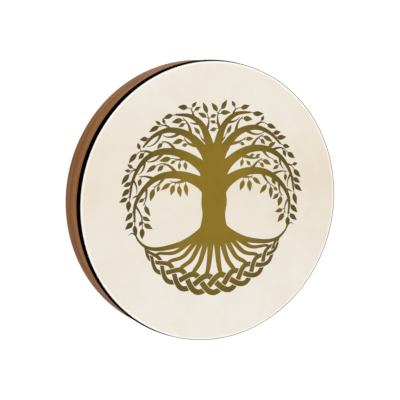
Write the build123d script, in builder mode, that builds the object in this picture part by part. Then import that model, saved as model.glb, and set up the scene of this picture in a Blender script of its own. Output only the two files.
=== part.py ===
"""An 18 inch bodhran with a hidden tuning ring: a shallow hooped drum with an open back.

The drum stands upright. Its axis lies along Y, the head faces -Y and the open back faces +Y.
The origin is on the axis, midway between the face of the head and the back rim.
Heights are measured along the axis from that middle, and grow toward the head.
Angles round the drum are seen from the front: 0 is at the right and 90 is at the top.
"""

import os
from math import degrees

from build123d import *

# --- Driving dimensions, in millimetres ---

# Wooden hoop, bent from three plies, each closed with its own glued seam
frame_diameter = 457.0
overall_depth = 70.0
outer_ply = 3.0
core_ply = 3.0
inner_ply = 3.0
rim_round = 1.4
edge_round = 0.9
edge_bevel = 2.0
seam_gap = 0.15
outer_seam_angle = -52.0
seam_stagger = 24.0

# Head: a stiff film folded over the hoop and glued under a black band
film = 0.5
head_lift = 0.6
collar_flare = 1.1
band_thickness = 1.0
band_front_thickness = 0.4
band_width = 13.2
band_past_collar = 0.9
band_proud = 0.6
band_end_gap = 0.3
band_round = 0.25

# Tuning ring, which lies inside the hoop and pushes the head up from below
ring_thickness = 9.0
ring_height = 20.0
ring_side_gap = 1.0
ring_outer_round = 2.0
ring_inner_round = 3.5
head_gap = 0.1
ring_travel = 4.0

# Tuners: a socket screw in a flanged bush, in a bracket on the inner wall
tuner_count = 8
tuner_start_angle = 22.5
screw_radius = 3.0
screw_head_radius = 5.0
screw_head_height = 6.0
screw_head_gap = 0.5
screw_recess = 8.6
socket_width = 5.0
socket_depth = 3.2
screw_chamfer = 0.5
thread_gap = 0.05
tip_gap = 0.05
bush_wall = 1.45
bush_flange = 0.8
bush_flange_height = 1.0
bush_flange_gap = 0.2
boss_wall = 3.2
bracket_height = 14.0
bracket_gap = 3.0
bracket_plate = 3.0
bracket_round = 1.5
ear_round = 3.5
pad_rim = 0.4
pad_thickness = 1.5

# Wood screws that hold the brackets
bracket_screw_radius = 1.5
bracket_screw_head_radius = 2.9
bracket_screw_head_height = 1.8
bracket_screw_from_boss = 2.1
bracket_screw_from_end = 2.9
bracket_screw_gap = 0.1
bracket_screw_point = 2.0
bracket_screw_margin = 1.0

# Crossbar, which the hand holds, and the wood screws through the hoop into its ends
bar_thickness = 12.0
bar_end_width = 32.0
bar_grip_width = 25.0
bar_recess = 5.0
bar_round = 3.5
bar_screw_radius = 2.0
bar_screw_head_radius = 4.0
bar_screw_length = 40.0
bar_screw_point = 4.0
bar_screw_offset = 8.0
bar_screw_sink = 0.5
drive_slot_width = 1.0
drive_slot_depth = 1.0
drive_slot_length = 4.4

# --- Places that follow from them ---

frame_radius = frame_diameter / 2
outer_inside = frame_radius - outer_ply
core_inside = outer_inside - core_ply
inner_inside = core_inside - inner_ply

back = -overall_depth / 2
face = overall_depth / 2
edge = face - film - head_lift

collar_inside = frame_radius + band_proud - band_thickness - film
fold_radius = collar_inside - collar_flare
band_inside = collar_inside + film
band_outside = band_inside + band_thickness
band_front_inside = fold_radius + film
band_front_outside = band_front_inside + band_front_thickness
band_top = edge + film
band_bottom = band_top - band_width
collar_end = band_bottom + band_past_collar
rebate_floor = band_bottom - band_end_gap

bush_inside = screw_radius + thread_gap
bush_outside = bush_inside + bush_wall
tuner_inset = max(
    screw_head_radius + screw_head_gap,
    bush_outside + bush_flange + bush_flange_gap,
    ring_thickness / 2 + ring_side_gap,
)
tuner_radius = inner_inside - tuner_inset
ring_outside = tuner_radius + ring_thickness / 2
ring_inside = tuner_radius - ring_thickness / 2
ring_top = face - film - head_gap
ring_bottom = ring_top - ring_height

bracket_top = ring_bottom - ring_travel - bracket_gap
bracket_bottom = bracket_top - bracket_height
bracket_middle = (bracket_top + bracket_bottom) / 2
bracket_face = inner_inside - bracket_plate
boss_radius = bush_outside + boss_wall
bracket_screw_offset = (
    boss_radius + bracket_round + bracket_screw_from_boss + bracket_screw_head_radius
)
bracket_half_width = bracket_screw_offset + bracket_screw_head_radius + bracket_screw_from_end
bracket_screw_tip = outer_inside - bracket_screw_margin
pad_radius = screw_radius + pad_rim
screw_head_back = back + screw_recess
screw_head_front = screw_head_back + screw_head_height
screw_tip = ring_bottom - tip_gap

bar_back = back + bar_recess
bar_front = bar_back + bar_thickness
bar_middle = (bar_back + bar_front) / 2
bar_screw_seat = frame_radius - bar_screw_sink

tuner_angles = [tuner_start_angle + n * 360 / tuner_count for n in range(tuner_count)]

ply_arc = 360 - degrees(seam_gap / frame_radius)

ON_SEAT = (Align.CENTER, Align.CENTER, Align.MIN)
UNDER_SEAT = (Align.CENTER, Align.CENTER, Align.MAX)


def round_the_drum(angle):
    """The plane at the drum's middle whose x points outward at an angle, with z toward the head."""
    return Plane(origin=(0, 0, 0), x_dir=Vector(1, 0, 0).rotate(Axis.Y, -angle), z_dir=(0, -1, 0))


def section_at(angle):
    """The plane through the drum's axis at an angle, on which x is radius and y is height."""
    here = round_the_drum(angle)
    return Plane(origin=(0, 0, 0), x_dir=here.x_dir, z_dir=-here.y_dir)


def into_the_wall(angle, radius, sideways, height):
    """A plane facing inward at a place by the wall, whose -z runs outward into the hoop."""
    here = round_the_drum(angle)
    return Plane(
        origin=here.from_local_coords((radius, sideways, height)),
        x_dir=here.z_dir,
        z_dir=-here.x_dir,
    )


def bar_screw_planes():
    """The four seats of the crossbar's screws: two at the top of the hoop and two at the bottom."""
    return [
        Plane(origin=(side * bar_screw_offset, -bar_middle, end * bar_screw_seat), z_dir=(0, 0, end))
        for end in (1, -1)
        for side in (1, -1)
    ]


def bracket_screw_seats(angle):
    """Where the heads of a bracket's two wood screws sit on its ears."""
    return [
        into_the_wall(angle, bracket_face, side * bracket_screw_offset, bracket_middle)
        for side in (-1, 1)
    ]


def bracket_screw_holes(angle):
    """The holes for a bracket's two wood screws, as deep as the screws need."""
    with Locations(*bracket_screw_seats(angle)):
        Hole(
            bracket_screw_radius + bracket_screw_gap,
            depth=bracket_screw_tip + bracket_screw_gap - bracket_face,
        )


def bar_screw_holes():
    """The countersunk holes for the crossbar's screws."""
    with Locations(*bar_screw_planes()):
        CounterSinkHole(
            radius=bar_screw_radius,
            counter_sink_radius=bar_screw_head_radius,
            depth=bar_screw_length,
            counter_sink_angle=90,
        )


def wood_screw(seat, radius, length, point):
    """The shank and point of a wood screw that runs down from its seat."""
    with Locations(seat):
        Cylinder(radius, length - point, align=UNDER_SEAT)
    with Locations(seat.offset(point - length)):
        Cone(radius / 8, radius, point, align=UNDER_SEAT)


def drive_slot(top, length):
    """The screwdriver's slot across the top of a screw's head."""
    with Locations(top):
        Box(length, drive_slot_width, drive_slot_depth, align=UNDER_SEAT, mode=Mode.SUBTRACT)


def build_outer_ply():
    """The outermost ply, rebated at the front for the head's collar and its band."""
    with BuildPart() as ply:
        with BuildSketch(section_at(outer_seam_angle)) as section:
            with BuildLine():
                Polyline(
                    (outer_inside, back),
                    (frame_radius, back),
                    (frame_radius, rebate_floor),
                    (collar_inside, rebate_floor),
                    (collar_inside, collar_end),
                    (fold_radius, edge - edge_round),
                )
                RadiusArc((fold_radius, edge - edge_round), (fold_radius - edge_round, edge), -edge_round)
                Polyline((fold_radius - edge_round, edge), (outer_inside, edge), (outer_inside, back))
            make_face()
            fillet(section.vertices().sort_by_distance((frame_radius, back))[0], rim_round)
        revolve(axis=Axis.Y, revolution_arc=ply_arc)
        bar_screw_holes()
    return ply


def build_core_ply():
    """The middle ply, whose front edge starts to fall away from the head."""
    with BuildPart() as ply:
        with BuildSketch(section_at(outer_seam_angle - seam_stagger)):
            with BuildLine():
                Polyline(
                    (core_inside, back),
                    (outer_inside, back),
                    (outer_inside, edge),
                    (core_inside, edge - edge_bevel / 2),
                    close=True,
                )
            make_face()
        revolve(axis=Axis.Y, revolution_arc=ply_arc)
        bar_screw_holes()
        for angle in tuner_angles:
            bracket_screw_holes(angle)
    return ply


def build_inner_ply():
    """The innermost ply, rounded at the back where the forearm rests."""
    with BuildPart() as ply:
        with BuildSketch(section_at(outer_seam_angle + seam_stagger)) as section:
            with BuildLine():
                Polyline(
                    (inner_inside, back),
                    (core_inside, back),
                    (core_inside, edge - edge_bevel / 2),
                    (inner_inside, edge - edge_bevel),
                    close=True,
                )
            make_face()
            fillet(section.vertices().sort_by_distance((inner_inside, back))[0], rim_round)
        revolve(axis=Axis.Y, revolution_arc=ply_arc)
        bar_screw_holes()
        for angle in tuner_angles:
            bracket_screw_holes(angle)
    return ply


def build_head():
    """The head: a flat film, down a slight slope to the hoop, round its edge and down its flared side."""
    crest = ring_outside - ring_outer_round
    with BuildPart() as head:
        with BuildSketch(section_at(0)):
            with BuildLine():
                Line((0, face - film), (crest, face - film))
                Line((crest, face - film), (fold_radius - edge_round, edge))
                RadiusArc((fold_radius - edge_round, edge), (fold_radius, edge - edge_round), edge_round)
                Line((fold_radius, edge - edge_round), (collar_inside, collar_end))
                Line((collar_inside, collar_end), (band_inside, collar_end))
                Line((band_inside, collar_end), (band_front_inside, edge - edge_round))
                RadiusArc(
                    (band_front_inside, edge - edge_round),
                    (fold_radius - edge_round, edge + film),
                    -edge_round - film,
                )
                Line((fold_radius - edge_round, edge + film), (crest, face))
                Line((crest, face), (0, face))
                Line((0, face), (0, face - film))
            make_face()
        revolve(axis=Axis.Y)
    return head


def build_band():
    """The black band over the head's glued collar, thinner and narrower at the front."""
    with BuildPart() as band:
        with BuildSketch(section_at(0)) as section:
            with BuildLine():
                Polyline(
                    (band_inside, band_bottom),
                    (band_outside, band_bottom),
                    (band_front_outside, band_top),
                    (band_front_inside, band_top),
                    (band_front_inside, edge - edge_round),
                    (band_inside, collar_end),
                    close=True,
                )
            make_face()
            for corner in ((band_outside, band_bottom), (band_front_outside, band_top)):
                fillet(section.vertices().sort_by_distance(corner)[0], band_round)
        revolve(axis=Axis.Y)
    return band


def build_tuning_ring():
    """The wooden ring under the head, with a rounded bearing edge and a recess for each pad."""
    with BuildPart() as ring:
        with BuildSketch(section_at(0)) as section:
            with BuildLine():
                Polyline(
                    (ring_inside, ring_bottom),
                    (ring_outside, ring_bottom),
                    (ring_outside, ring_top),
                    (ring_inside, ring_top),
                    close=True,
                )
            make_face()
            fillet(section.vertices().sort_by_distance((ring_outside, ring_top))[0], ring_outer_round)
            fillet(section.vertices().sort_by_distance((ring_inside, ring_top))[0], ring_inner_round)
        revolve(axis=Axis.Y)
        with BuildSketch(Plane.XZ.offset(ring_bottom)):
            with PolarLocations(tuner_radius, tuner_count, tuner_start_angle):
                Circle(pad_radius)
        extrude(amount=pad_thickness, mode=Mode.SUBTRACT)
    return ring


def build_pad(angle):
    """The steel pad let into the tuning ring, where a screw's tip pushes."""
    with BuildPart() as pad:
        with BuildSketch(round_the_drum(angle).offset(ring_bottom)):
            with Locations((tuner_radius, 0)):
                Circle(pad_radius)
        extrude(amount=pad_thickness)
    return pad


def build_bracket(angle):
    """A bracket: a boss for the bush between two ears, shaped to the inner wall at its back."""
    here = round_the_drum(angle)
    with BuildPart() as bracket:
        with BuildSketch(here.offset(bracket_bottom)) as outline:
            with Locations((inner_inside, 0)):
                Rectangle(2 * bracket_plate, 2 * bracket_half_width)
            with Locations((tuner_radius, 0)):
                Circle(boss_radius)
                Rectangle(2 * tuner_inset, 2 * boss_radius, align=(Align.MIN, Align.CENTER))
            for side in (-1, 1):
                corner = outline.vertices().sort_by_distance((bracket_face, side * boss_radius))[0]
                fillet(corner, bracket_round)
        extrude(amount=bracket_height)
        with BuildSketch(Plane.XZ.offset(bracket_bottom)):
            Circle(inner_inside)
        extrude(amount=bracket_height, mode=Mode.INTERSECT)
        with BuildSketch(into_the_wall(angle, inner_inside, 0, bracket_middle)):
            RectangleRounded(bracket_height, 2 * bracket_half_width, ear_round)
        extrude(amount=2 * (tuner_inset + boss_radius), both=True, mode=Mode.INTERSECT)
        with BuildSketch(here.offset(bracket_bottom)):
            with Locations((tuner_radius, 0)):
                Circle(bush_outside)
        extrude(amount=bracket_height, mode=Mode.SUBTRACT)
        bracket_screw_holes(angle)
    return bracket


def build_bush(angle):
    """The brass bush that the tuning screw turns in, with its flange on the side of the load."""
    here = round_the_drum(angle)
    with BuildPart() as bush:
        with BuildSketch(here.offset(bracket_bottom)):
            with Locations((tuner_radius, 0)):
                Circle(bush_outside)
        extrude(amount=bracket_height)
        with BuildSketch(here.offset(bracket_top)):
            with Locations((tuner_radius, 0)):
                Circle(bush_outside + bush_flange)
        extrude(amount=bush_flange_height)
        with BuildSketch(here.offset(bracket_bottom)):
            with Locations((tuner_radius, 0)):
                Circle(bush_inside)
        extrude(amount=bracket_height + bush_flange_height, mode=Mode.SUBTRACT)
    return bush


def build_tuning_screw(angle):
    """A cap screw with a hex socket, whose tip bears on the tuning ring's pad."""
    here = round_the_drum(angle)
    with BuildPart() as screw:
        with BuildSketch(here.offset(screw_head_back)):
            with Locations((tuner_radius, 0)):
                Circle(screw_head_radius)
        extrude(amount=screw_head_height)
        with BuildSketch(here.offset(screw_head_front)):
            with Locations((tuner_radius, 0)):
                Circle(screw_radius)
        extrude(amount=screw_tip - screw_head_front)
        ends = screw.edges().group_by(Axis.Y)
        chamfer(ends[0] + ends[-1], screw_chamfer)
        with BuildSketch(here.offset(screw_head_back)):
            with Locations((tuner_radius, 0)):
                RegularPolygon(socket_width / 2, 6, major_radius=False)
        extrude(amount=socket_depth, mode=Mode.SUBTRACT)
    return screw


def build_bracket_screws():
    """The wood screws that hold the brackets: a round slotted head, a shank and a point each."""
    with BuildPart() as screws:
        for angle in tuner_angles:
            for seat in bracket_screw_seats(angle):
                wood_screw(
                    seat,
                    bracket_screw_radius,
                    bracket_screw_tip - bracket_face,
                    bracket_screw_point,
                )
                with Locations(seat):
                    Cylinder(bracket_screw_head_radius, bracket_screw_head_height, align=ON_SEAT)
                top = seat.offset(bracket_screw_head_height)
                drive_slot(top, 2 * bracket_screw_head_radius)
    return screws


def build_crossbar():
    """The crossbar: wider at its ends than at the grip, and cut to the hoop's inner wall."""
    with BuildPart() as bar:
        with BuildSketch(Plane.XZ.offset(bar_back)):
            with BuildLine():
                right = ThreePointArc(
                    (bar_end_width / 2, -frame_radius),
                    (bar_grip_width / 2, 0),
                    (bar_end_width / 2, frame_radius),
                )
                left = mirror(right, about=Plane.YZ)
                Line(right @ 0, left @ 0)
                Line(right @ 1, left @ 1)
            make_face()
        extrude(amount=bar_thickness)
        fillet(bar.edges().filter_by(GeomType.CIRCLE), bar_round)
        with BuildSketch(Plane.XZ.offset(bar_back)):
            Circle(inner_inside)
        extrude(amount=bar_thickness, mode=Mode.INTERSECT)
        bar_screw_holes()
    return bar


def build_crossbar_screws():
    """The four countersunk wood screws that come through the hoop into the crossbar's ends."""
    with BuildPart() as screws:
        for seat in bar_screw_planes():
            wood_screw(seat, bar_screw_radius, bar_screw_length, bar_screw_point)
            with Locations(seat):
                Cone(
                    bar_screw_radius,
                    bar_screw_head_radius,
                    bar_screw_head_radius - bar_screw_radius,
                    align=UNDER_SEAT,
                )
            drive_slot(seat, drive_slot_length)
    return screws


subparts = {
    "hoop_outer_ply": build_outer_ply(),
    "hoop_core_ply": build_core_ply(),
    "hoop_inner_ply": build_inner_ply(),
    "drumhead": build_head(),
    "edge_band": build_band(),
    "tuning_ring": build_tuning_ring(),
    "crossbar": build_crossbar(),
    "crossbar_screws": build_crossbar_screws(),
    "bracket_screws": build_bracket_screws(),
}
for number, angle in enumerate(tuner_angles, start=1):
    subparts[f"tuning_bracket_{number}"] = build_bracket(angle)
    subparts[f"threaded_bush_{number}"] = build_bush(angle)
    subparts[f"ring_pad_{number}"] = build_pad(angle)
    subparts[f"tuning_screw_{number}"] = build_tuning_screw(angle)

os.makedirs("parts", exist_ok=True)
for name, subpart in subparts.items():
    subpart.part.label = name
    export_step(subpart.part, f"parts/{name}.step")
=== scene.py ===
"""A bodhran as a maker finishes it: stained hoop, printed head, black band and tuning gear.

The file is laid out as a Blender add-on and is run as a script. Lengths are in metres. The drum's
axis lies along Y, its head faces -Y, and its crossbar stands along Z.
"""

import random
from math import atan2, cos, hypot, pi, radians, sin, tau

import bpy
import numpy as np
from mathutils import Matrix, Vector
from mathutils.geometry import delaunay_2d_cdt


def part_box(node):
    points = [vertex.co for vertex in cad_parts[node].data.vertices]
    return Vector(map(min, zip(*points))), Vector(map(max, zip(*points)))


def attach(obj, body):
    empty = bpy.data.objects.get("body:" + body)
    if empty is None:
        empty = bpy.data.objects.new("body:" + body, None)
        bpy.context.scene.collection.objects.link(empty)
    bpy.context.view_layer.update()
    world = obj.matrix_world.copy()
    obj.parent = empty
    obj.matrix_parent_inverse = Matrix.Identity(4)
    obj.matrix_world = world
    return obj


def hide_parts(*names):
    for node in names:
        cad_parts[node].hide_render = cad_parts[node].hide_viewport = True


bl_info = {
    "name": "Bodhran",
    "version": (1, 0, 0),
    "blender": (4, 5, 0),
    "location": "View3D > Sidebar > Bodhran",
    "description": "Gives a framed bodhran its wood, head, printed tree and tuning gear",
    "category": "Object",
}

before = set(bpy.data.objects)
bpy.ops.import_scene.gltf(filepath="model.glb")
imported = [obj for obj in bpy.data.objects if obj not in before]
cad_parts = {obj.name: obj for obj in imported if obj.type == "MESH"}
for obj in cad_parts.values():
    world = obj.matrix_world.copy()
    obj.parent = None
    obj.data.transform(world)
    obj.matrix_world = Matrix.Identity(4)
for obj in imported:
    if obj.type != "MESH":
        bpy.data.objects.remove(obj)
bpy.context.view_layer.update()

HOOP_LOW, HOOP_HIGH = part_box("hoop_outer_ply")
FACE_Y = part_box("drumhead")[0].y
BACK_Y = HOOP_HIGH.y
HOOP_RADIUS = HOOP_HIGH.x
TUNERS = sum(name.startswith("tuning_screw_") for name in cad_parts)


# --- Small tools for node trees ---

def add_node(tree, kind, settings=None, **inputs):
    """A node with its settings, whose inputs are given values or are linked to other nodes' sockets."""
    node = tree.nodes.new("ShaderNode" + kind)
    for name, value in (settings or {}).items():
        setattr(node, name, value)
    for name, value in inputs.items():
        plug(tree, node.inputs[name.replace("_", " ")], value)
    return node


def plug(tree, socket, value):
    """Links a socket to another one, or gives it a value."""
    if isinstance(value, bpy.types.NodeSocket):
        tree.links.new(value, socket)
    else:
        socket.default_value = value


def calculate(tree, operation, *values):
    """The result of a Math node."""
    node = tree.nodes.new("ShaderNodeMath")
    node.operation = operation
    for socket, value in zip(node.inputs, values):
        plug(tree, socket, value)
    return node.outputs["Value"]


def blend_colors(tree, factor, first, second, mode="MIX"):
    """The result of mixing two colours."""
    node = tree.nodes.new("ShaderNodeMix")
    node.data_type = "RGBA"
    node.blend_type = mode
    plug(tree, node.inputs[0], factor)
    plug(tree, node.inputs[6], first)
    plug(tree, node.inputs[7], second)
    return node.outputs[2]


def spread(tree, value, low, high, out_low=0.0, out_high=1.0):
    """A value whose range from low to high is stretched to another range, and held inside it."""
    node = add_node(tree, "MapRange", Value=value)
    for name, number in (
        ("From Min", low), ("From Max", high), ("To Min", out_low), ("To Max", out_high),
    ):
        plug(tree, node.inputs[name], number)
    return node.outputs["Result"]


def object_coordinates(tree):
    """The place of a point in the drum's own frame, in metres."""
    return add_node(tree, "TexCoord").outputs["Object"]


def axis_distance(tree, x, z):
    """How far a point is from the drum's axis."""
    squares = (calculate(tree, "MULTIPLY", part, part) for part in (x, z))
    return calculate(tree, "SQRT", calculate(tree, "ADD", *squares))


def noise(tree, vector, scale, detail=3.0, roughness=0.5, distortion=0.0):
    """A cloudy value round one half."""
    node = add_node(
        tree, "TexNoise", Vector=vector, Scale=scale, Detail=detail,
        Roughness=roughness, Distortion=distortion,
    )
    return node.outputs["Fac"]


def new_group(name, inputs, outputs):
    """An empty shader node group with named sockets, each given as name, kind and default."""
    group = bpy.data.node_groups.new(name, "ShaderNodeTree")
    for title, kind, default in inputs:
        socket = group.interface.new_socket(title, in_out="INPUT", socket_type="NodeSocket" + kind)
        if default is not None:
            socket.default_value = default
    for title, kind in outputs:
        group.interface.new_socket(title, in_out="OUTPUT", socket_type="NodeSocket" + kind)
    source = group.nodes.new("NodeGroupInput").outputs
    result = group.nodes.new("NodeGroupOutput").inputs
    return group, source, result


def use_group(tree, group, **inputs):
    """A node group placed in a material, with its own values."""
    node = tree.nodes.new("ShaderNodeGroup")
    node.node_tree = group
    for name, value in inputs.items():
        plug(tree, node.inputs[name.replace("_", " ")], value)
    return node.outputs


def new_material(name, metallic=0.0, **sockets):
    """A material with one Principled shader, and that shader."""
    material = bpy.data.materials.new(name)
    material.use_nodes = True
    shader = material.node_tree.nodes["Principled BSDF"]
    shader.inputs["Metallic"].default_value = metallic
    for title, value in sockets.items():
        shader.inputs[title.replace("_", " ")].default_value = value
    return material, material.node_tree, shader


def finish_shader(tree, shader, color, roughness, height=None, bump=0.0002, strength=1.0):
    """Feeds a shader its colour, roughness and relief."""
    plug(tree, shader.inputs["Base Color"], color)
    plug(tree, shader.inputs["Roughness"], roughness)
    if height is not None:
        relief = add_node(tree, "Bump", Height=height, Distance=bump, Strength=strength)
        tree.links.new(relief.outputs["Normal"], shader.inputs["Normal"])


# --- Effects that several finishes share ---

def make_wood_figure():
    """Wood with fine streaks, broad bands and pores, drawn along one direction of its coordinates."""
    group, source, result = new_group(
        "Wood Figure",
        [("Grain", "Vector", None), ("Light", "Color", (0.4, 0.25, 0.12, 1)),
         ("Dark", "Color", (0.2, 0.1, 0.04, 1)), ("Contrast", "Float", 1.0),
         ("Pores", "Float", 0.5)],
        [("Color", "Color"), ("Height", "Float")],
    )
    grain = source["Grain"]
    streaks = noise(group, grain, 1.0, detail=6.0, roughness=0.65, distortion=0.15)
    bands = noise(group, grain, 0.17, detail=3.0, roughness=0.5, distortion=0.4)
    pores = noise(group, grain, 3.1, detail=2.0, roughness=0.6)
    mixed = calculate(group, "ADD", calculate(group, "MULTIPLY", streaks, 0.55),
                      calculate(group, "MULTIPLY", bands, 0.45))
    centred = calculate(group, "MULTIPLY", calculate(group, "SUBTRACT", mixed, 0.5),
                        calculate(group, "MULTIPLY", source["Contrast"], 4.0))
    mask = spread(group, centred, -0.5, 0.5)
    pore_mask = calculate(group, "MULTIPLY", spread(group, pores, 0.56, 0.70), source["Pores"])
    base = blend_colors(group, mask, source["Light"], source["Dark"])
    color = blend_colors(group, pore_mask, base, source["Dark"], "MULTIPLY")
    height = calculate(group, "SUBTRACT", calculate(group, "MULTIPLY", streaks, 0.5), pore_mask)
    plug(group, result["Color"], color)
    plug(group, result["Height"], height)
    return group


def make_uneven_sheen():
    """Roughness that drifts in soft patches, as handling and dust leave it."""
    group, source, result = new_group(
        "Uneven Sheen",
        [("Place", "Vector", None), ("Smooth", "Float", 0.3), ("Rough", "Float", 0.5),
         ("Patch Scale", "Float", 30.0)],
        [("Roughness", "Float")],
    )
    broad = add_node(group, "TexNoise", Vector=source["Place"], Scale=source["Patch Scale"], Detail=4.0)
    mask = spread(group, broad.outputs["Fac"], 0.35, 0.65)
    plug(group, result["Roughness"], spread(group, mask, 0.0, 1.0, source["Smooth"], source["Rough"]))
    return group


def make_handling_wear():
    """A mask of small rubs and specks, dense where its amount is high."""
    group, source, result = new_group(
        "Handling Wear",
        [("Place", "Vector", None), ("Amount", "Float", 0.3), ("Speck Scale", "Float", 900.0)],
        [("Mask", "Float")],
    )
    specks = add_node(group, "TexNoise", Vector=source["Place"], Scale=source["Speck Scale"], Detail=3.0)
    patches = noise(group, source["Place"], 60.0, detail=2.0)
    summed = calculate(group, "ADD", specks.outputs["Fac"], calculate(group, "MULTIPLY", patches, 0.4))
    edge = calculate(group, "SUBTRACT", 1.05, calculate(group, "MULTIPLY", source["Amount"], 0.5))
    above = calculate(group, "SUBTRACT", summed, edge)
    plug(group, result["Mask"], spread(group, above, 0.0, 0.08))
    return group


def hoop_grain(tree, along, across):
    """Coordinates for wood bent into a hoop, slow round it and fine across and through it, and the depth."""
    split = add_node(tree, "SeparateXYZ", Vector=object_coordinates(tree))
    x, y, z = (split.outputs[axis] for axis in "XYZ")
    fine = calculate(tree, "MULTIPLY", calculate(tree, "ADD", y, axis_distance(tree, x, z)), across)
    joined = add_node(
        tree, "CombineXYZ", X=calculate(tree, "MULTIPLY", x, along), Y=fine,
        Z=calculate(tree, "MULTIPLY", z, along),
    )
    return joined.outputs["Vector"], y


def straight_grain(tree, along, across):
    """Coordinates for straight wood that stands along Z."""
    return add_node(
        tree, "Mapping", Vector=object_coordinates(tree), Scale=(across, across, along),
    ).outputs["Vector"]


# --- Sizes and colours that a user can change ---

def color_setting(name, description, red, green, blue):
    return bpy.props.FloatVectorProperty(
        name=name, description=description, subtype="COLOR", size=4, min=0.0, max=1.0,
        default=(red, green, blue, 1.0),
    )


def length_setting(name, description, default):
    return bpy.props.FloatProperty(
        name=name, description=description, default=default, unit="LENGTH", precision=5,
    )


def number_setting(name, description, default):
    return bpy.props.FloatProperty(name=name, description=description, default=default)


class WoodSettings(bpy.types.PropertyGroup):
    """The stains and grain of the hoop, the crossbar and the tuning ring"""

    stain_light: color_setting("Light stain", "Hoop's stain between the streaks", 0.305, 0.128, 0.034)
    stain_dark: color_setting("Dark stain", "Hoop's stain in the streaks", 0.145, 0.054, 0.013)
    core_light: color_setting("Core ply", "Bare edge of the middle ply", 0.470, 0.300, 0.150)
    core_dark: color_setting("Core streaks", "Streaks in the middle ply", 0.260, 0.140, 0.060)
    ring_light: color_setting("Ring wood", "Pale wood of the tuning ring", 0.620, 0.430, 0.230)
    ring_dark: color_setting("Ring streaks", "Streaks in the tuning ring", 0.400, 0.240, 0.110)
    bar_light: color_setting("Crossbar wood", "Crossbar's stain between the streaks", 0.285, 0.120, 0.034)
    bar_dark: color_setting("Crossbar streaks", "Crossbar's stain in the streaks", 0.105, 0.040, 0.011)
    streak_density: number_setting("Streak density", "Streaks per metre across the grain", 520.0)
    streak_stretch: number_setting("Streak stretch", "Streaks per metre along the grain", 14.0)


class HeadSettings(bpy.types.PropertyGroup):
    """The film of the head and its black band"""

    film_light: color_setting("Film", "Cream of the film", 0.769, 0.732, 0.664)
    # Painted highlight: a paler cream painted along the film's fold over the hoop, where its rounded edge
    # would catch the light
    fold_highlight: color_setting("Film's rim", "Paler film where it folds over the hoop", 0.930, 0.905, 0.860)
    # Colour of both the film's random warmer clouds and its painted shade: a warmer, darker belt across the
    # film, heavier on the right side
    film_clouds_and_shade: color_setting("Warm clouds", "Warmer clouds in the film", 0.706, 0.610, 0.466)
    band_color: color_setting("Band", "Black of the band", 0.0007, 0.0007, 0.0008)
    weave_pitch: length_setting("Weave pitch", "Distance between the band's threads", 0.0007)
    ink_light: color_setting("Ink", "Old gold of the trunk and boughs", 0.238, 0.158, 0.012)
    ink_dark: color_setting("Dark ink", "Darker ink of the leaves and root tips", 0.090, 0.062, 0.007)
    ink_height: length_setting("Ink height", "How far the ink stands proud of the film", 0.00008)
    print_radius: length_setting("Print radius", "Radius of the circle that the tree fills", 0.164)
    print_rise: length_setting("Print rise", "How far the print's middle is above the drum's", 0.0046)
    print_seed: bpy.props.IntProperty(
        name="Print seed", description="Chooses how the twigs and leaves grow", default=7)


class MetalSettings(bpy.types.PropertyGroup):
    """The metals of the tuning gear"""

    coat: color_setting("Bracket coat", "Black coat of the brackets", 0.020, 0.020, 0.022)
    steel: color_setting("Steel", "Zinc plated steel", 0.560, 0.565, 0.575)
    brass: color_setting("Brass", "Turned brass", 0.720, 0.470, 0.170)
    thread_pitch: length_setting("Thread pitch", "Pitch of the tuning screws", 0.001)
    thread_depth: length_setting("Thread depth", "Depth of the tuning screws' thread", 0.00055)
    screw_radius: length_setting("Screw radius", "Radius over the tuning screws' thread", 0.003)
    head_height: length_setting("Head height", "Height of the tuning screws' heads", 0.006)
    head_bevel: length_setting("Head bevel", "Bevel of the tuning screws' heads and tips", 0.0005)
    knurl_depth: length_setting("Knurl depth", "Depth of the grooves round a head", 0.00022)
    socket_width: length_setting("Socket width", "Width across the flats of the key's socket", 0.005)
    socket_depth: length_setting("Socket depth", "Depth of the key's socket", 0.0032)


class StageSettings(bpy.types.PropertyGroup):
    """The camera, the floor and the lights"""

    azimuth: bpy.props.FloatProperty(
        name="Azimuth", description="Way round the drum that the camera stands",
        default=radians(-24.85), subtype="ANGLE")
    elevation: bpy.props.FloatProperty(
        name="Elevation", description="Height of the camera's line above the horizon",
        default=radians(7.0), subtype="ANGLE")
    distance: length_setting("Distance", "From the camera to the head, along its line", 1.828)
    lens: bpy.props.FloatProperty(
        name="Lens", description="Focal length", default=101.6, unit="CAMERA")
    aside: length_setting("Aside", "How far the head stands to the right of the camera's line", 0.0225)
    below: length_setting("Below", "How far the head stands below the camera's line", 0.0034)
    floor_drop: length_setting("Floor drop", "Gap between the drum and the floor", 0.30)
    sky: number_setting("Sky", "Strength of the white surroundings", 1.06)
    key_power: bpy.props.FloatProperty(
        name="Key light", description="Power of the large soft light", default=5.0, unit="POWER")


# --- Finishes ---

# Places on the drum, in metres
WORN_RIM = 0.0035
GRIP_HALF, GRIP_END = 0.045, 0.10
# Where the painted shade on the film lies: a warmer belt round this height and reach, heavier across this
# span to the right
SHADE_BELT_HEIGHT, SHADE_BELT_REACH = 0.03, 0.19
SHADED_SIDE = (0.05, 0.21)
# How far in from the hoop's edge the painted highlight on the film's fold starts and reaches full strength
HIGHLIGHT_START, HIGHLIGHT_END = 0.0060, 0.0035
INK_NEAR, INK_FAR = 0.08, 0.18

# How much sooner the ink darkens sideways than up and down
INK_WIDENING = 1.6**0.5


def paint(node, material):
    """Gives a CAD node its finish."""
    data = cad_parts[node].data
    data.materials.clear()
    data.materials.append(material)


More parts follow.
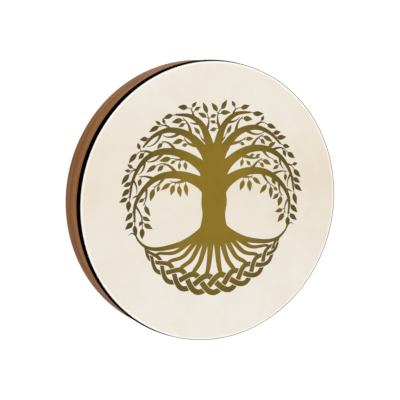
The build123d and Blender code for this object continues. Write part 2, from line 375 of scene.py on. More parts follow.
def bent_wood(name, light, dark, effects, contrast=1.0, pores=0.5, roughness=(0.50, 0.65), worn=0.25):
    """Wood bent round the drum, with a thin finish that is rubbed through in specks at its rims."""
    wood = bpy.context.scene.bodhran_wood
    material, tree, shader = new_material(name, Specular_IOR_Level=0.04)
    grain, depth = hoop_grain(tree, wood.streak_stretch, wood.streak_density)
    figure = use_group(
        tree, effects["figure"], Grain=grain, Light=light, Dark=dark, Contrast=contrast, Pores=pores)
    place = object_coordinates(tree)
    sheen = use_group(
        tree, effects["sheen"], Place=place, Smooth=roughness[0], Rough=roughness[1], Patch_Scale=26.0)
    wear = use_group(tree, effects["wear"], Place=place, Amount=worn, Speck_Scale=700.0)
    rim = calculate(tree, "MULTIPLY", spread(tree, depth, BACK_Y - WORN_RIM, BACK_Y), wear["Mask"])
    rubbed = blend_colors(tree, 0.55, figure["Color"], (0.62, 0.44, 0.26, 1))
    color = blend_colors(tree, rim, figure["Color"], rubbed)
    finish_shader(tree, shader, color, sheen["Roughness"], figure["Height"], bump=0.00012)
    return material


def straight_wood(name, light, dark, effects):
    """The crossbar's wood, darker and smoother where the hand holds it."""
    wood = bpy.context.scene.bodhran_wood
    material, tree, shader = new_material(name, Specular_IOR_Level=0.4)
    grain = straight_grain(tree, wood.streak_stretch, wood.streak_density * 0.7)
    figure = use_group(
        tree, effects["figure"], Grain=grain, Light=light, Dark=dark, Contrast=1.1, Pores=0.6)
    place = object_coordinates(tree)
    height = add_node(tree, "SeparateXYZ", Vector=place).outputs["Z"]
    far = calculate(tree, "ABSOLUTE", height)
    grip = spread(tree, far, GRIP_HALF, GRIP_END, 1.0, 0.0)
    patches = noise(tree, place, 45.0)
    handled = calculate(tree, "MULTIPLY", grip, spread(tree, patches, 0.3, 0.6))
    polished = blend_colors(tree, 0.35, figure["Color"], (0.42, 0.23, 0.10, 1))
    color = blend_colors(tree, handled, figure["Color"], polished)
    roughness = spread(tree, handled, 0.0, 1.0, 0.46, 0.30)
    finish_shader(tree, shader, color, roughness, figure["Height"], bump=0.00015)
    return material


def film_material(effects):
    """A cream film with soft clouds and faint fibres, with painted shade as a warmer belt across it that is
    heavier on the right, and a painted highlight along its fold over the hoop.
    """
    head = bpy.context.scene.bodhran_head
    material, tree, shader = new_material("Head film", Specular_IOR_Level=0.30)
    place = object_coordinates(tree)
    split = add_node(tree, "SeparateXYZ", Vector=place)
    side, height = split.outputs["X"], split.outputs["Z"]
    # Painted shade: a warmer, darker belt across the film, strongest a little above the middle and heavier
    # towards the right side; the clouds below add random tone
    from_belt = calculate(tree, "ABSOLUTE", calculate(tree, "SUBTRACT", height, SHADE_BELT_HEIGHT))
    shade_belt = spread(tree, from_belt, 0.0, SHADE_BELT_REACH, 0.44, 0.12)
    shade_and_clouds = calculate(tree, "MULTIPLY", shade_belt, spread(tree, side, *SHADED_SIDE, 1.0, 1.7))
    clouds = noise(tree, place, 11.0, detail=4.0, roughness=0.6, distortion=0.3)
    wisps = noise(tree, place, 34.0, detail=5.0, roughness=0.6, distortion=1.2)
    for cloud, depth in ((clouds, 0.2), (wisps, 0.1)):
        shade_and_clouds = calculate(tree, "ADD", shade_and_clouds, spread(tree, cloud, 0.3, 0.7, -depth, depth))
    clouded_and_shaded = blend_colors(tree, shade_and_clouds, tuple(head.film_light), tuple(head.film_clouds_and_shade))
    # Painted highlight: the film is blended towards a paler cream over the last few millimetres before its
    # fold over the hoop
    reach = axis_distance(tree, side, height)
    rim = spread(tree, reach, HOOP_RADIUS - HIGHLIGHT_START, HOOP_RADIUS - HIGHLIGHT_END, 0.0, 0.75)
    color = blend_colors(tree, rim, clouded_and_shaded, tuple(head.fold_highlight))
    fibres = noise(tree, place, 900.0, detail=3.0, roughness=0.7)
    sheen = use_group(tree, effects["sheen"], Place=place, Smooth=0.42, Rough=0.52, Patch_Scale=12.0)
    finish_shader(tree, shader, color, sheen["Roughness"], fibres, bump=0.00004)
    return material


def band_material(effects):
    """Flat black tape, woven fine, with threads across and along."""
    head = bpy.context.scene.bodhran_head
    material, tree, shader = new_material("Edge band", Specular_IOR_Level=0.0)
    place = object_coordinates(tree)
    split = add_node(tree, "SeparateXYZ", Vector=place)
    turn = calculate(tree, "ARCTAN2", split.outputs["Z"], split.outputs["X"])
    along = calculate(tree, "MULTIPLY", turn, HOOP_RADIUS * tau / head.weave_pitch)
    across = calculate(tree, "MULTIPLY", split.outputs["Y"], tau / head.weave_pitch)
    weave = calculate(tree, "MULTIPLY", calculate(tree, "SINE", along), calculate(tree, "SINE", across))
    specks = use_group(tree, effects["wear"], Place=place, Amount=0.12, Speck_Scale=1500.0)
    color = blend_colors(tree, calculate(tree, "MULTIPLY", specks["Mask"], 0.25),
                         tuple(head.band_color), (0.012, 0.012, 0.012, 1))
    sheen = use_group(tree, effects["sheen"], Place=place, Smooth=0.70, Rough=0.85, Patch_Scale=40.0)
    finish_shader(tree, shader, color, sheen["Roughness"], weave, bump=0.00006)
    return material


def metal_material(name, color, effects, metallic=1.0, smooth=0.25, rough=0.42, worn=0.2, under=None):
    """Metal with patches of duller surface, fine tool marks and small rubs."""
    material, tree, shader = new_material(name, metallic=metallic)
    place = object_coordinates(tree)
    marks = noise(tree, place, 2600.0, detail=2.0)
    tarnish = spread(tree, noise(tree, place, 160.0, detail=4.0), 0.42, 0.68)
    wear = use_group(tree, effects["wear"], Place=place, Amount=worn, Speck_Scale=1300.0)
    dull = blend_colors(tree, calculate(tree, "MULTIPLY", tarnish, 0.35), color,
                        tuple(0.55 * part for part in color[:3]) + (1,))
    shown = blend_colors(tree, calculate(tree, "MULTIPLY", wear["Mask"], 0.8), dull, under or color)
    sheen = use_group(tree, effects["sheen"], Place=place, Smooth=smooth, Rough=rough, Patch_Scale=220.0)
    finish_shader(tree, shader, shown, sheen["Roughness"], marks, bump=0.00002)
    return material


def ink_material(light, dark):
    """Printing ink, gold at the trunk and darker out in the leaves and root tips."""
    material, tree, shader = new_material("Printing ink", Specular_IOR_Level=0.12)
    place = object_coordinates(tree)
    split = add_node(tree, "SeparateXYZ", Vector=place)
    wide = calculate(tree, "MULTIPLY", split.outputs["X"], INK_WIDENING)
    outward = spread(tree, axis_distance(tree, wide, split.outputs["Z"]), INK_NEAR, INK_FAR)
    patches = noise(tree, place, 26.0, detail=4.0)
    mask = calculate(tree, "ADD", outward, spread(tree, patches, 0.3, 0.7, -0.15, 0.15))
    grain = noise(tree, place, 700.0, detail=2.0)
    tone = blend_colors(tree, mask, light, dark)
    color = blend_colors(tree, spread(tree, grain, 0.35, 0.75, 0.0, 0.14), tone, dark)
    finish_shader(tree, shader, color, 0.55, grain, bump=0.00003)
    return material


# --- The printed tree: a drawing of brush lines and leaves, and the bare gaps where roots cross ---

# Places are in parts of the print's radius, with x to the right and y up.
# A point of a brush line is x, y and the line's half width there.
BOUGHS = (
    ((0.03, 0.04, 0.080), (0.15, 0.175, 0.059), (0.36, 0.262, 0.041), (0.58, 0.245, 0.031),
     (0.75, 0.13, 0.023), (0.845, -0.03, 0.016), (0.84, -0.19, 0.009)),
    ((0.03, 0.17, 0.080), (0.15, 0.35, 0.055), (0.36, 0.475, 0.039), (0.58, 0.482, 0.030),
     (0.755, 0.385, 0.022), (0.865, 0.22, 0.015), (0.90, 0.05, 0.009)),
    ((0.02, 0.28, 0.068), (0.105, 0.49, 0.049), (0.26, 0.65, 0.035), (0.45, 0.70, 0.026),
     (0.62, 0.64, 0.018), (0.745, 0.525, 0.009)),
    ((0.0, 0.33, 0.057), (0.04, 0.54, 0.045), (0.11, 0.73, 0.031), (0.24, 0.835, 0.021),
     (0.40, 0.85, 0.009)),
)
TRUNK_SIDE = (
    (0.125, 0.36), (0.15, 0.20), (0.134, 0.08), (0.142, -0.04), (0.124, -0.15), (0.136, -0.245),
    (0.15, -0.30), (0.10, -0.38),
)
TRUNK_MARGIN = 0.06
SIDE_ROOT = (
    (0.05, -0.25, 0.050), (0.17, -0.345, 0.045), (0.33, -0.415, 0.031), (0.50, -0.450, 0.024),
    (0.63, -0.455, 0.019), (0.73, -0.425, 0.014), (0.80, -0.365, 0.010), (0.835, -0.305, 0.0075),
    (0.875, -0.285, 0.005), (0.905, -0.305, 0.002),
)
LEAF_LENGTH = 0.118
LEAF_HALF_WIDTH = 0.0300
LEAF_TRIES = ((0.0, 1.0), (0.3, 1.0), (-0.25, 1.0), (0.6, 1.0), (0.1, 0.8), (-0.3, 0.8), (0.4, 0.72))
SMALL_LEAF_TRIES = ((0.0, 0.62), (0.5, 0.62), (-0.3, 0.55))
LEAF_BODY = ((0.12, 0.5), (0.35, 0.95), (0.6, 0.8), (0.85, 0.35), (1.0, 0.1))
STALK = 0.020
STALK_HALF_WIDTHS = (0.0048, 0.0036, 0.003)
STALK_TIP = 0.01
CLEAR_GAP = 0.0065
TWIG_RIM = 0.94
TWIG_STEPS = 12
TWIG_SPAN = (0.28, 0.86)
TWIG_SPACING = 5
TWIG_LENGTHS = (0.15, 0.24)
TWIG_SHORTEST = 0.06
TWIG_CURLS = (0.7, 1.5)
SIDE_ROOTS = 5
PLAIT_MIDDLE = 0.85
PLAIT_SWING = 0.085
PLAIT_SPAN = radians(60)
PLAIT_TURNS = 3.67
PLAIT_HALF_WIDTH = 0.029
PLAIT_STEPS = 220
UNDER, OVER, TOP = 2.0, 3.0, 4.0
MERGE_DISTANCE = 1e-6


def smooth_line(points, steps=9):
    """A line that runs smoothly through points, their half widths included."""
    ends = (points[0], *points, points[-1])
    line = []
    for a, b, c, d in zip(ends, ends[1:], ends[2:], ends[3:]):
        for step in range(steps):
            t = step / steps
            line.append(tuple(
                0.5 * (2*q + (r - p)*t + (2*p - 5*q + 4*r - s)*t**2 + (3*q - p - 3*r + s)*t**3)
                for p, q, r, s in zip(a, b, c, d)
            ))
    return [*line, tuple(points[-1])]


def heading(line, i):
    """The direction of a line at one of its points."""
    before, after = line[max(i - 1, 0)], line[min(i + 1, len(line) - 1)]
    return atan2(after[1] - before[1], after[0] - before[0])


def leaf_outline(x, y, angle, length, half_width, bend):
    """A pointed leaf that grows from (x, y) and bends to one side."""
    steps = 9
    left, right = [], []
    for step in range(steps + 1):
        t = step / steps
        half = half_width * sin(pi * t**0.85) * (1 - 0.35*t)
        sway = bend * length * 0.35 * t * (t - 0.4)
        turn = angle + bend * (t - 0.5)
        middle_x = x + length*t*cos(angle) - sway*sin(angle)
        middle_y = y + length*t*sin(angle) + sway*cos(angle)
        left.append((middle_x - half*sin(turn), middle_y + half*cos(turn)))
        right.append((middle_x + half*sin(turn), middle_y - half*cos(turn)))
    return right[:-1] + [left[-1]] + left[1:-1][::-1]


class Drawing:
    """Patches of ink and bare gaps, each with the order in which it is laid down, and what they fill."""

    def __init__(self, seed):
        self.patches = []
        self.filled = []
        self.chance = random.Random(seed)

    def lay(self, line, order=0.0, extra=0.0, ink=True):
        """Lays a brush line down as four-sided patches."""
        sides = []
        for i, (x, y, half) in enumerate(line):
            turn = heading(line, i)
            across = (-sin(turn) * (half + extra), cos(turn) * (half + extra))
            sides.append(((x + across[0], y + across[1]), (x - across[0], y - across[1])))
        for (a, b), (c, d) in zip(sides, sides[1:]):
            self.patches.append((order, ink, (b, d, c, a)))

    def brush(self, line):
        """Lays a brush line down in ink and marks its place as filled."""
        self.lay(line)
        self.filled += line

    def room(self, points, ignore):
        """True if none of the points comes close to what is already drawn."""
        return all(
            hypot(x - u, y - v) > half + w + CLEAR_GAP
            for x, y, half in points
            for u, v, w in self.filled
            if (u, v, w) not in ignore
        )

    def leaf(self, x, y, half, angle, side, ignore, smaller=()):
        """Grows a leaf on a short stalk, if there is room for it or a smaller one near this angle."""
        for nudge, size in LEAF_TRIES + smaller:
            turn = angle + side * nudge
            length = LEAF_LENGTH * size * self.chance.uniform(0.88, 1.1)
            dx, dy = cos(turn), sin(turn)
            foot_x, foot_y = x + dx * (half + STALK), y + dy * (half + STALK)
            body = [
                (foot_x + dx*length*t, foot_y + dy*length*t, LEAF_HALF_WIDTH * size * fat)
                for t, fat in LEAF_BODY
            ]
            if all(hypot(u, v) < 1.0 for u, v, w in body) and self.room(body, ignore):
                inner, middle, outer = STALK_HALF_WIDTHS
                tip = (foot_x + dx*STALK_TIP, foot_y + dy*STALK_TIP, outer)
                self.lay([(x, y, inner), (foot_x, foot_y, middle), tip])
                bend = side * self.chance.uniform(0.15, 0.75)
                width = LEAF_HALF_WIDTH * size**0.6 * self.chance.uniform(0.9, 1.08)
                self.patches.append((0.0, True, leaf_outline(foot_x, foot_y, turn, length, width, bend)))
                self.filled += body
                return

    def twig(self, line, i, side, length, curl):
        """Grows a tapering twig from a line, as long as there is room for."""
        near = set(line[max(i - 10, 0):i + 12])
        while length > TWIG_SHORTEST:
            x, y, half = line[i]
            turn = heading(line, i) + side
            shoot = []
            for step in range(TWIG_STEPS + 1):
                t = step / TWIG_STEPS
                shoot.append((x, y, half * 0.45 * (1 - t)**1.2 + 0.0055 - 0.0025*t))
                turn -= side * curl / TWIG_STEPS * (0.5 + t)
                x += length / TWIG_STEPS * cos(turn)
                y += length / TWIG_STEPS * sin(turn)
            if self.room(shoot[4:], near) and all(hypot(u, v) < TWIG_RIM for u, v, w in shoot):
                self.brush(shoot)
                return shoot
            length -= 0.02
        return None


def draw_trunk(drawing):
    """Lays down the trunk, from its flare up to the fork."""
    side = smooth_line([(x, y, TRUNK_MARGIN) for x, y in TRUNK_SIDE], 8)
    for (x0, y0, _), (x1, y1, _) in zip(side, side[1:]):
        left0, left1 = 0.006*sin(14*y0 + 2) - x0, 0.006*sin(14*y1 + 2) - x1
        drawing.patches.append((TOP, True, ((left0, y0), (left1, y1), (x1, y1), (x0, y0))))
    for x, y, half in side:
        drawing.filled += [(x - half, y, half), (half - x, y, half)]


def draw_canopy(drawing):
    """Lays down the boughs, then grows twigs and leaves wherever there is room."""
    boughs, shoots = [], []
    for mirror in (1, -1):
        for points in BOUGHS:
            line = smooth_line([(mirror * x, y, half) for x, y, half in points])
            if mirror < 0:
                line = [(x + 0.012*sin(5*y + 1), y + 0.012*sin(6*x), half) for x, y, half in line]
            drawing.brush(line)
            boughs.append((line, mirror))
    for line, mirror in boughs:
        end = len(line) - 1
        drawing.leaf(*line[end], heading(line, end), 1, set(line[end - 8:]))
        first, last = (int(end * part) for part in TWIG_SPAN)
        for n, i in enumerate(range(first, last, TWIG_SPACING)):
            side = mirror * (1 if n % 2 else -1)
            length, curl = drawing.chance.uniform(*TWIG_LENGTHS), drawing.chance.uniform(*TWIG_CURLS)
            shoot = drawing.twig(line, i, side, length, curl)
            if shoot:
                shoots.append(shoot)
    for shoot in shoots:
        end = len(shoot) - 1
        drawing.leaf(*shoot[end], heading(shoot, end), 1, set(shoot[end - 5:]), SMALL_LEAF_TRIES)
    for back in (3, 5, 7, 9, 11):
        for shoot in shoots:
            i = len(shoot) - back
            for side in (1, -1):
                near = set(shoot[i - 3:i + 4])
                drawing.leaf(*shoot[i], heading(shoot, i) + side * 0.8, side, near, SMALL_LEAF_TRIES)
    for line, mirror in boughs:
        for i in range(len(line) // 4, len(line)):
            near = set(line[max(i - 5, 0):i + 6])
            for side in (1, -1):
                drawing.leaf(*line[i], heading(line, i) + side * 0.85, side, near)


def plait_point(strand, s):
    """A point of a strand of the plait, for s from -1 at the left end to 1, and how high it lies."""
    spin = PLAIT_TURNS*pi*s + tau*strand/3 - pi/6
    radius = PLAIT_MIDDLE + PLAIT_SWING * (1 - abs(s)**3.5) * sin(spin)
    turn = s*PLAIT_SPAN - pi/2
    half = PLAIT_HALF_WIDTH * (1 - 0.62*s*s)
    return (radius * cos(turn), radius * sin(turn), half), sin(2*spin)


def draw_plait(drawing):
    """Lays down a plait of three roots, each passing over and under the others."""
    for strand in range(3):
        steps = [plait_point(strand, 2*n/PLAIT_STEPS - 1) for n in range(PLAIT_STEPS + 1)]
        start = 0
        for n in range(1, PLAIT_STEPS + 1):
            over = steps[n - 1][1] > 0
            if n == PLAIT_STEPS or (steps[n][1] > 0) != over:
                stretch = [point for point, _ in steps[max(start - 1, 0):n + 1]]
                order = OVER if over else UNDER
                drawing.lay(stretch, order - 0.5, CLEAR_GAP, ink=False)
                drawing.lay(stretch, order)
                start = n


def draw_roots(drawing):
    """Lays down the roots that run from the trunk into the plait."""
    for mirror in (1, -1):
        drawing.lay(smooth_line([(mirror * x, y, half) for x, y, half in SIDE_ROOT]), TOP)
        for n in range(SIDE_ROOTS):
            s = mirror * (2*n + 1) / (3 * PLAIT_TURNS)
            strand = min(range(3), key=lambda k: hypot(*plait_point(k, s)[0][:2]))
            (ax, ay, half), (bx, by, _), (cx, cy, _) = (
                plait_point(strand, s + mirror * step)[0] for step in (0.0, 0.022, 0.05)
            )
            foot = mirror * (0.018 + 0.022*n)
            line = [
                (foot, -0.31, 0.034),
                (0.26*ax + 0.74*foot, 0.01*n - 0.43, 0.033 - 0.002*n),
                (0.62*ax + 0.34*foot, 0.52*ay - 0.225, 0.027 - 0.002*n),
                (0.96*ax, 0.945*ay, 0.8*half), (bx, by, 0.75*half), (cx, cy, 0.45*half),
            ]
            drawing.lay(smooth_line(line), TOP)


def inside(outline, x, y):
    """Which of the places at x, y lie inside an outline."""
    crossed = np.zeros(len(x), bool)
    for (ax, ay), (bx, by) in zip(outline, outline[1:] + outline[:1]):
        if ay != by:
            crossed ^= ((ay > y) != (by > y)) & (x < ax + (y - ay) * (bx - ax) / (by - ay))
    return crossed


def inked_mesh(patches):
    """Points and triangles of the inked part of a drawing, where the patch laid last decides."""
    points, edges = [], []
    for _, _, outline in patches:
        start, count = len(points), len(outline)
        points += [Vector(point) for point in outline]
        edges += [(start + i, start + (i + 1) % count) for i in range(count)]
    places, _, triangles, *_ = delaunay_2d_cdt(points, edges, [], 0, MERGE_DISTANCE, False)
    middles = np.array([sum((places[i] for i in corners), Vector((0, 0))) / 3 for corners in triangles])
    inked = np.zeros(len(triangles), bool)
    for _, ink, outline in sorted(patches, key=lambda patch: patch[0]):
        low, high = np.min(outline, axis=0), np.max(outline, axis=0)
        near = np.flatnonzero(((middles > low) & (middles < high)).all(axis=1))
        inked[near[inside(list(outline), *middles[near].T)]] = ink
    return places, [corners for corners, kept in zip(triangles, inked) if kept]


# --- The operators, one for each piece or group of like pieces ---

# How deep the ink and the thread are let into what is below them, in metres
INK_ROOT = 0.0001
THREAD_ROOT = 0.00015

# Half the width of the thread's ridge, in pitches
RIDGE_HALF_WIDTH = 0.46

THREAD_STEPS = 24
HEAD_CORNERS = 72
SOCKET_TURN = radians(37)
SMOOTH_ANGLE = radians(20)


def select_only(*pieces):
    """Selects these pieces and nothing else, with the first one active."""
    bpy.ops.object.select_all(action="DESELECT")
    for piece in pieces:
        piece.select_set(True)
    bpy.context.view_layer.objects.active = pieces[0]


class FinishStep(bpy.types.Operator):
    """A step that finishes one part of the drum"""

    bl_options = {"REGISTER", "UNDO"}

    def effects(self):
        """The node groups that the finishes share, made the first time they are asked for."""
        makers = {
            "figure": ("Wood Figure", make_wood_figure),
            "sheen": ("Uneven Sheen", make_uneven_sheen),
            "wear": ("Handling Wear", make_handling_wear),
        }
        return {key: bpy.data.node_groups.get(name) or make() for key, (name, make) in makers.items()}


class BODHRAN_OT_hoop(FinishStep):
    """Stain the three plies of the hoop"""

    bl_idname = "bodhran.hoop"
    bl_label = "Hoop"

    def execute(self, context):
        wood, effects = context.scene.bodhran_wood, self.effects()
        stain = (tuple(wood.stain_light), tuple(wood.stain_dark))
        paint("hoop_outer_ply", bent_wood("Outer ply", *stain, effects))
        paint("hoop_inner_ply", bent_wood("Inner ply", *stain, effects, contrast=1.2))
        core = (tuple(wood.core_light), tuple(wood.core_dark))
        paint("hoop_core_ply", bent_wood("Core ply", *core, effects, contrast=0.8, worn=0.1))
        return {"FINISHED"}


class BODHRAN_OT_head(FinishStep):
    """Give the head its clouded film and the band its weave"""

    bl_idname = "bodhran.head"
    bl_label = "Head and band"

    def execute(self, context):
        paint("drumhead", film_material(self.effects()))
        paint("edge_band", band_material(self.effects()))
        return {"FINISHED"}


def turned(name, profile, corners):
    """A closed piece turned about the Y axis, from heights and radii along its side."""
    (height, radius), *rest = profile
    bpy.ops.object.select_all(action="DESELECT")
    bpy.ops.mesh.primitive_circle_add(
        vertices=corners, radius=radius, fill_type="NGON", location=(0, height, 0), rotation=(pi / 2, 0, 0))
    piece = bpy.context.object
    piece.name = name
    bpy.ops.object.transform_apply(location=True, rotation=True, scale=True)
    bpy.ops.object.mode_set(mode="EDIT")
    bpy.ops.mesh.select_all(action="SELECT")
    for next_height, next_radius in rest:
        bpy.ops.mesh.extrude_region_move(TRANSFORM_OT_translate={"value": (0, next_height - height, 0)})
        scale = next_radius / radius
        bpy.ops.transform.resize(value=(scale, 1, scale), center_override=(0, next_height, 0))
        height, radius = next_height, next_radius
    bpy.ops.mesh.select_all(action="SELECT")
    bpy.ops.mesh.normals_make_consistent(inside=False)
    bpy.ops.object.mode_set(mode="OBJECT")
    return piece


def knurl(piece, low, high, radius, corners, depth):
    """Sinks every other corner of a turned piece's side between two heights, which leaves straight ribs."""
    step = tau / corners
    select_only(piece)
    bpy.ops.object.mode_set(mode="EDIT")
    bpy.ops.mesh.select_mode(type="VERT")
    bpy.ops.mesh.select_all(action="DESELECT")
    bpy.ops.object.mode_set(mode="OBJECT")
    for point in piece.data.vertices:
        x, y, z = point.co
        on_side = low < y < high and hypot(x, z) > 0.98 * radius
        point.select = on_side and round(atan2(z, x) / step) % 2 == 0
    bpy.ops.object.mode_set(mode="EDIT")
    scale = 1 - depth / radius
    bpy.ops.transform.resize(value=(scale, 1, scale), center_override=(0, 0, 0))
    bpy.ops.object.mode_set(mode="OBJECT")


def cut_socket(piece, top, width, depth):
    """Cuts a six-sided socket down from the top of a piece on the Y axis."""
    bpy.ops.object.select_all(action="DESELECT")
    bpy.ops.mesh.primitive_cylinder_add(
        vertices=6, radius=width / 2 / cos(pi / 6), depth=2 * depth, location=(0, top, 0),
        rotation=(pi / 2, 0, 0))
    cutter = bpy.context.object
    bpy.ops.object.transform_apply(location=True, rotation=True, scale=True)
    select_only(piece)
    cut = piece.modifiers.new("socket", "BOOLEAN")
    cut.operation, cut.object, cut.solver = "DIFFERENCE", cutter, "EXACT"
    bpy.ops.object.modifier_apply(modifier=cut.name)
    bpy.data.objects.remove(cutter, do_unlink=True)


def wind_thread(start, turns, pitch, root, depth):
    """A closed helical ridge round the Y axis, triangular in section and sunk a little into the shank."""
    bpy.ops.object.select_all(action="DESELECT")
    bpy.ops.mesh.primitive_circle_add(
        vertices=3, radius=1.0, fill_type="NOTHING", location=(0, 0, 0), rotation=(0, 0, -pi / 2))
    ridge = bpy.context.object
    ridge.name = "thread"
    ridge.scale = (RIDGE_HALF_WIDTH * pitch, (depth + THREAD_ROOT) / 1.5, 1)
    bpy.ops.object.transform_apply(location=True, rotation=True, scale=True)
    inner = min(point.co.x for point in ridge.data.vertices)
    ridge.location = (root - THREAD_ROOT - inner, start, 0)
    bpy.ops.object.transform_apply(location=True, rotation=True, scale=True)
    winding = ridge.modifiers.new("winding", "SCREW")
    winding.axis, winding.angle, winding.screw_offset = "Y", tau, pitch
    winding.iterations, winding.steps, winding.render_steps = turns, THREAD_STEPS, THREAD_STEPS
    winding.use_smooth_shade = False
    bpy.ops.object.modifier_apply(modifier=winding.name)
    bpy.ops.object.mode_set(mode="EDIT")
    bpy.ops.mesh.select_all(action="SELECT")
    bpy.ops.mesh.remove_doubles(threshold=1e-7)
    bpy.ops.mesh.fill_holes(sides=3)
    bpy.ops.mesh.select_all(action="SELECT")
    bpy.ops.mesh.normals_make_consistent(inside=False)
    bpy.ops.object.mode_set(mode="OBJECT")
    return ridge


def copy_to(piece, name, place, turn):
    """A copy of a piece made on the Y axis, with its own mesh, turned and moved to its place."""
    copy = piece.copy()
    copy.data = piece.data.copy()
    copy.name = copy.data.name = name
    bpy.context.collection.objects.link(copy)
    copy.data.transform(Matrix.Translation(place) @ Matrix.Rotation(turn, 4, "Y"))
    return copy


class BODHRAN_OT_tree_print(FinishStep):
    """Print the tree on the head, as a thin layer of ink"""

    bl_idname = "bodhran.tree_print"
    bl_label = "Printed tree"

    def execute(self, context):
        head = context.scene.bodhran_head
        drawing = Drawing(head.print_seed)
        for draw in (draw_trunk, draw_canopy, draw_plait, draw_roots):
            draw(drawing)
        places, triangles = inked_mesh(drawing.patches)
        if not triangles:
            raise RuntimeError("the printed tree came out empty")
        scale, rise = head.print_radius, head.print_rise
        corners = [(x * scale, FACE_Y + INK_ROOT, y * scale + rise) for x, y in places]
        mesh = bpy.data.meshes.new("tree_print")
        mesh.from_pydata(corners, [], triangles)
        tree = bpy.data.objects.new("tree_print", mesh)
        context.collection.objects.link(tree)
        select_only(tree)
        bpy.ops.object.mode_set(mode="EDIT")
        bpy.ops.mesh.select_all(action="SELECT")
        bpy.ops.mesh.delete_loose()
        bpy.ops.mesh.remove_doubles(threshold=scale * 1e-5)
        bpy.ops.mesh.dissolve_limited(angle_limit=radians(0.5))
        bpy.ops.mesh.select_all(action="SELECT")
        lift = (0, -head.ink_height - INK_ROOT, 0)
        bpy.ops.mesh.extrude_region_move(TRANSFORM_OT_translate={"value": lift})
        bpy.ops.mesh.select_all(action="SELECT")
        bpy.ops.mesh.quads_convert_to_tris()
        bpy.ops.mesh.normals_make_consistent(inside=False)
        bpy.ops.object.mode_set(mode="OBJECT")
        mesh.materials.append(ink_material(tuple(head.ink_light), tuple(head.ink_dark)))
        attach(tree, "drum")
        return {"FINISHED"}


class BODHRAN_OT_crossbar(FinishStep):
    """Stain the crossbar and polish its grip"""

    bl_idname = "bodhran.crossbar"
    bl_label = "Crossbar"

    def execute(self, context):
        wood = context.scene.bodhran_wood
        bar = straight_wood("Crossbar wood", tuple(wood.bar_light), tuple(wood.bar_dark), self.effects())
        paint("crossbar", bar)
        return {"FINISHED"}


class BODHRAN_OT_tuning_ring(FinishStep):
    """Sand the tuning ring and turn its pads"""

    bl_idname = "bodhran.tuning_ring"
    bl_label = "Tuning ring"

    def execute(self, context):
        wood, metal = context.scene.bodhran_wood, context.scene.bodhran_metal
        pale = (tuple(wood.ring_light), tuple(wood.ring_dark))
        paint("tuning_ring", bent_wood("Ring wood", *pale, self.effects(), contrast=0.8))
        pad = metal_material("Pad steel", tuple(metal.steel), self.effects(), smooth=0.3, rough=0.5)
        for number in range(1, TUNERS + 1):
            paint(f"ring_pad_{number}", pad)
        return {"FINISHED"}


class BODHRAN_OT_tuners(FinishStep):
    """Finish the brackets, bushes and wood screws of the tuning gear"""

    bl_idname = "bodhran.tuners"
    bl_label = "Tuners"

    def execute(self, context):
        metal, effects = context.scene.bodhran_metal, self.effects()
        steel = metal_material("Wood screw steel", tuple(metal.steel), effects)
        coat = metal_material("Bracket coat", tuple(metal.coat), effects, metallic=0.2, smooth=0.38,
                              rough=0.55, under=(0.16, 0.16, 0.165, 1))
        brass = metal_material("Bush brass", tuple(metal.brass), effects)
        for number in range(1, TUNERS + 1):
            paint(f"tuning_bracket_{number}", coat)
            paint(f"threaded_bush_{number}", brass)
        paint("bracket_screws", steel)
        paint("crossbar_screws", brass)
        return {"FINISHED"}


class BODHRAN_OT_tuning_screws(FinishStep):
    """Model one tuning screw, with its thread, ribbed head and socket, and set a copy at each tuner"""

    bl_idname = "bodhran.tuning_screws"
    bl_label = "Tuning screws"

    def execute(self, context):
        metal = context.scene.bodhran_metal
        low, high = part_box("tuning_screw_1")
        tip, top, seat = low.y, high.y, high.y - metal.head_height
        head_radius = (high.x - low.x) / 2
        root = metal.screw_radius - metal.thread_depth
        bevel = metal.head_bevel
        screw = turned("tuning_screw", (
            (tip, root - bevel), (tip + bevel, root), (seat, root), (seat, head_radius - bevel),
            (seat + bevel / 2, head_radius), (top - bevel, head_radius), (top, head_radius - bevel),
        ), HEAD_CORNERS)
        knurl(screw, seat, top - bevel / 2, head_radius, HEAD_CORNERS, metal.knurl_depth)
        cut_socket(screw, top, metal.socket_width, metal.socket_depth)
        turns = int((seat - tip - 2 * bevel) / metal.thread_pitch)
        thread = wind_thread(tip + 1.5 * bevel, turns, metal.thread_pitch, root, metal.thread_depth)
        select_only(screw, thread)
        bpy.ops.object.join()
        bpy.ops.object.shade_smooth_by_angle(angle=SMOOTH_ANGLE)
        steel = metal_material("Tuning screw steel", tuple(metal.steel), self.effects())
        screw.data.materials.append(steel)
        for number in range(1, TUNERS + 1):
            low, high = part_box(f"tuning_screw_{number}")
            place = Vector(((low.x + high.x) / 2, 0, (low.z + high.z) / 2))
            piece = copy_to(screw, f"threaded_screw_{number}", place, number * SOCKET_TURN)
            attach(piece, f"screw_{number}")
            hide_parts(f"tuning_screw_{number}")
        bpy.data.objects.remove(screw, do_unlink=True)
        return {"FINISHED"}


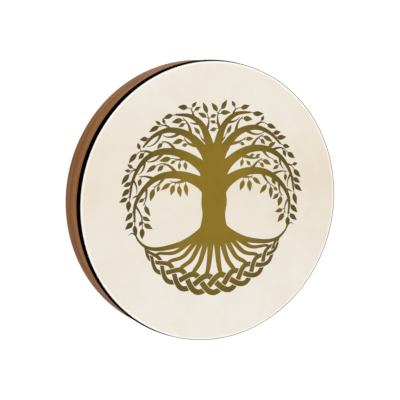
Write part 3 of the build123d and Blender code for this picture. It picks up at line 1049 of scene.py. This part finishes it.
class BODHRAN_OT_stage(FinishStep):
    """Set up the floor, the lights and the camera"""

    bl_idname = "bodhran.stage"
    bl_label = "Stage"

    def execute(self, context):
        stage = context.scene.bodhran_stage
        self.floor(stage)
        self.lights(context, stage)
        self.camera(context, stage)
        context.scene.view_settings.view_transform = "Standard"
        return {"FINISHED"}

    def floor(self, stage):
        bpy.ops.object.select_all(action="DESELECT")
        level = HOOP_LOW.z - stage.floor_drop
        bpy.ops.mesh.primitive_plane_add(size=30.0, location=(0, 0, level))
        floor = bpy.context.object
        floor.name = "floor"
        material, tree, shader = new_material("Pale floor", Specular_IOR_Level=0.1)
        grain = noise(tree, object_coordinates(tree), 3.0)
        color = blend_colors(tree, grain, (0.96, 0.96, 0.955, 1), (0.94, 0.94, 0.935, 1))
        finish_shader(tree, shader, color, 0.8)
        floor.data.materials.append(material)

    def lights(self, context, stage):
        world = bpy.data.worlds.new("Studio")
        world.use_nodes = True
        background = world.node_tree.nodes["Background"]
        background.inputs["Color"].default_value = (1, 1, 1, 1)
        background.inputs["Strength"].default_value = stage.sky
        context.scene.world = world
        places = (
            ("key", (-1.1, -1.9, 1.7), 1.6, stage.key_power),
            ("fill", (1.8, -1.5, 0.5), 1.8, stage.key_power * 0.4),
            ("back", (0.6, 1.9, 1.2), 1.4, stage.key_power * 0.6),
        )
        for name, place, size, power in places:
            bpy.ops.object.light_add(type="AREA", location=place)
            light = bpy.context.object
            light.name = name
            light.data.shape = "DISK"
            light.data.size = size
            light.data.energy = power
            light.rotation_euler = (-Vector(place)).to_track_quat("-Z", "Y").to_euler()

    def camera(self, context, stage):
        turn, rise = stage.azimuth, stage.elevation
        back = Vector((sin(turn) * cos(rise), -cos(turn) * cos(rise), sin(rise)))
        right = Vector((cos(turn), sin(turn), 0))
        up = back.cross(right)
        aim = Vector((0, FACE_Y, 0)) - right * stage.aside + up * stage.below
        bpy.ops.object.camera_add(location=aim + back * stage.distance)
        camera = bpy.context.object
        camera.rotation_euler = back.to_track_quat("Z", "Y").to_euler()
        camera.data.lens = stage.lens
        camera.data.clip_start, camera.data.clip_end = 0.05, 60.0
        context.scene.camera = camera


class BODHRAN_PT_panel(bpy.types.Panel):
    """Lists the drum's settings and steps"""

    bl_label = "Bodhran"
    bl_idname = "BODHRAN_PT_panel"
    bl_space_type = "VIEW_3D"
    bl_region_type = "UI"
    bl_category = "Bodhran"

    def draw(self, context):
        for step in STEPS:
            self.layout.operator(step.bl_idname)
        for group in SETTINGS:
            box = self.layout.box()
            box.label(text=group.__doc__)
            settings = getattr(context.scene, SETTINGS[group])
            for name in group.__annotations__:
                box.prop(settings, name)


SETTINGS = {
    WoodSettings: "bodhran_wood",
    HeadSettings: "bodhran_head",
    MetalSettings: "bodhran_metal",
    StageSettings: "bodhran_stage",
}
STEPS = (
    BODHRAN_OT_stage, BODHRAN_OT_hoop, BODHRAN_OT_head, BODHRAN_OT_tree_print, BODHRAN_OT_crossbar,
    BODHRAN_OT_tuning_ring, BODHRAN_OT_tuners, BODHRAN_OT_tuning_screws,
)
CLASSES = (*SETTINGS, *STEPS, BODHRAN_PT_panel)


def register():
    for cls in CLASSES:
        bpy.utils.register_class(cls)
    for group, name in SETTINGS.items():
        setattr(bpy.types.Scene, name, bpy.props.PointerProperty(type=group))


def unregister():
    for name in SETTINGS.values():
        delattr(bpy.types.Scene, name)
    for cls in reversed(CLASSES):
        bpy.utils.unregister_class(cls)


def main():
    register()
    bpy.ops.object.select_all(action="DESELECT")
    for step in STEPS:
        area, name = step.bl_idname.split(".")
        getattr(getattr(bpy.ops, area), name)()


if __name__ == "__main__":
    main()
